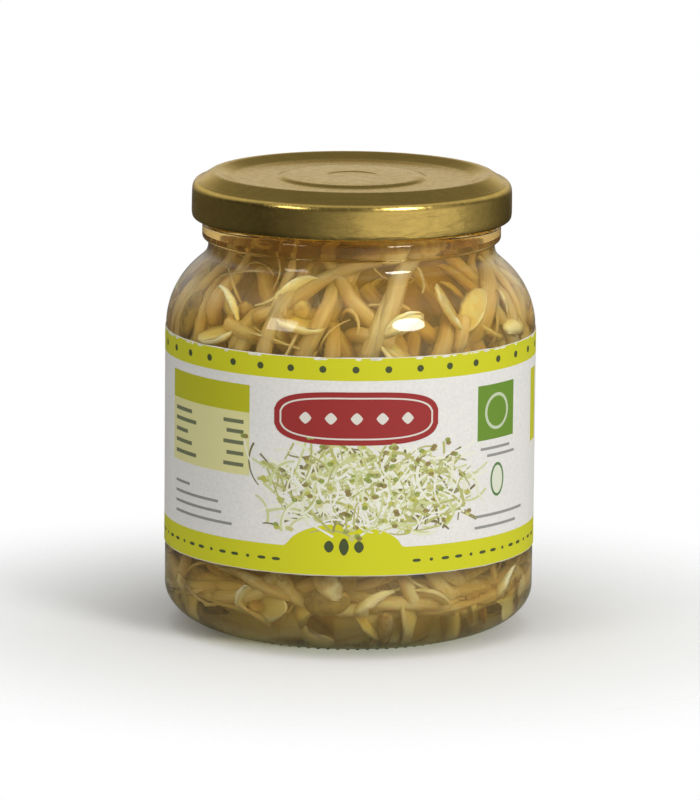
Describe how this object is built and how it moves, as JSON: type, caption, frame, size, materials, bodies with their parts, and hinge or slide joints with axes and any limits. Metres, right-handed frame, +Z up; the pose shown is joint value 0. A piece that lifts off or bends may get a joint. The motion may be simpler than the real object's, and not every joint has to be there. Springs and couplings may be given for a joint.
{
  "type": "jar of bean sprouts",
  "caption": "Round glass preserving jar with a gold twist-off lid and a paper label, filled with mung bean sprouts in brine.",
  "frame": {"origin": "centre of the base, on the surface that the jar stands on", "axes": "+Z up along the jar's axis, -Y towards the front of the label, +X to the right of the label seen from the front"},
  "size_m": [0.081, 0.081, 0.1001],
  "materials": {
    "glass": "clear, polished, faintly grey-green",
    "gold": "gold-lacquered tinplate, semi-gloss",
    "seal": "soft, matte",
    "paper": "uncoated paper with printed bands",
    "sprout": "translucent, wet",
    "brine": "clear amber liquid",
    "hull": "thin brown skin, wet"
  },
  "bodies": {
    "jar": {"glass_jar": "glass", "label": "paper", "sprouts": "sprout", "brine": "brine", "seed_coat_front": "hull", "seed_coat_side": "hull"},
    "lid": {"lid": "gold", "sealing_ring": "seal"}
  },
  "joints": [
    {"name": "lid_twist", "type": "hinge", "parent": "jar", "child": "lid", "pos_m": [0, 0, 0.095], "axis": [0, 0, 1], "range_deg": [0, 64]}
  ]
}
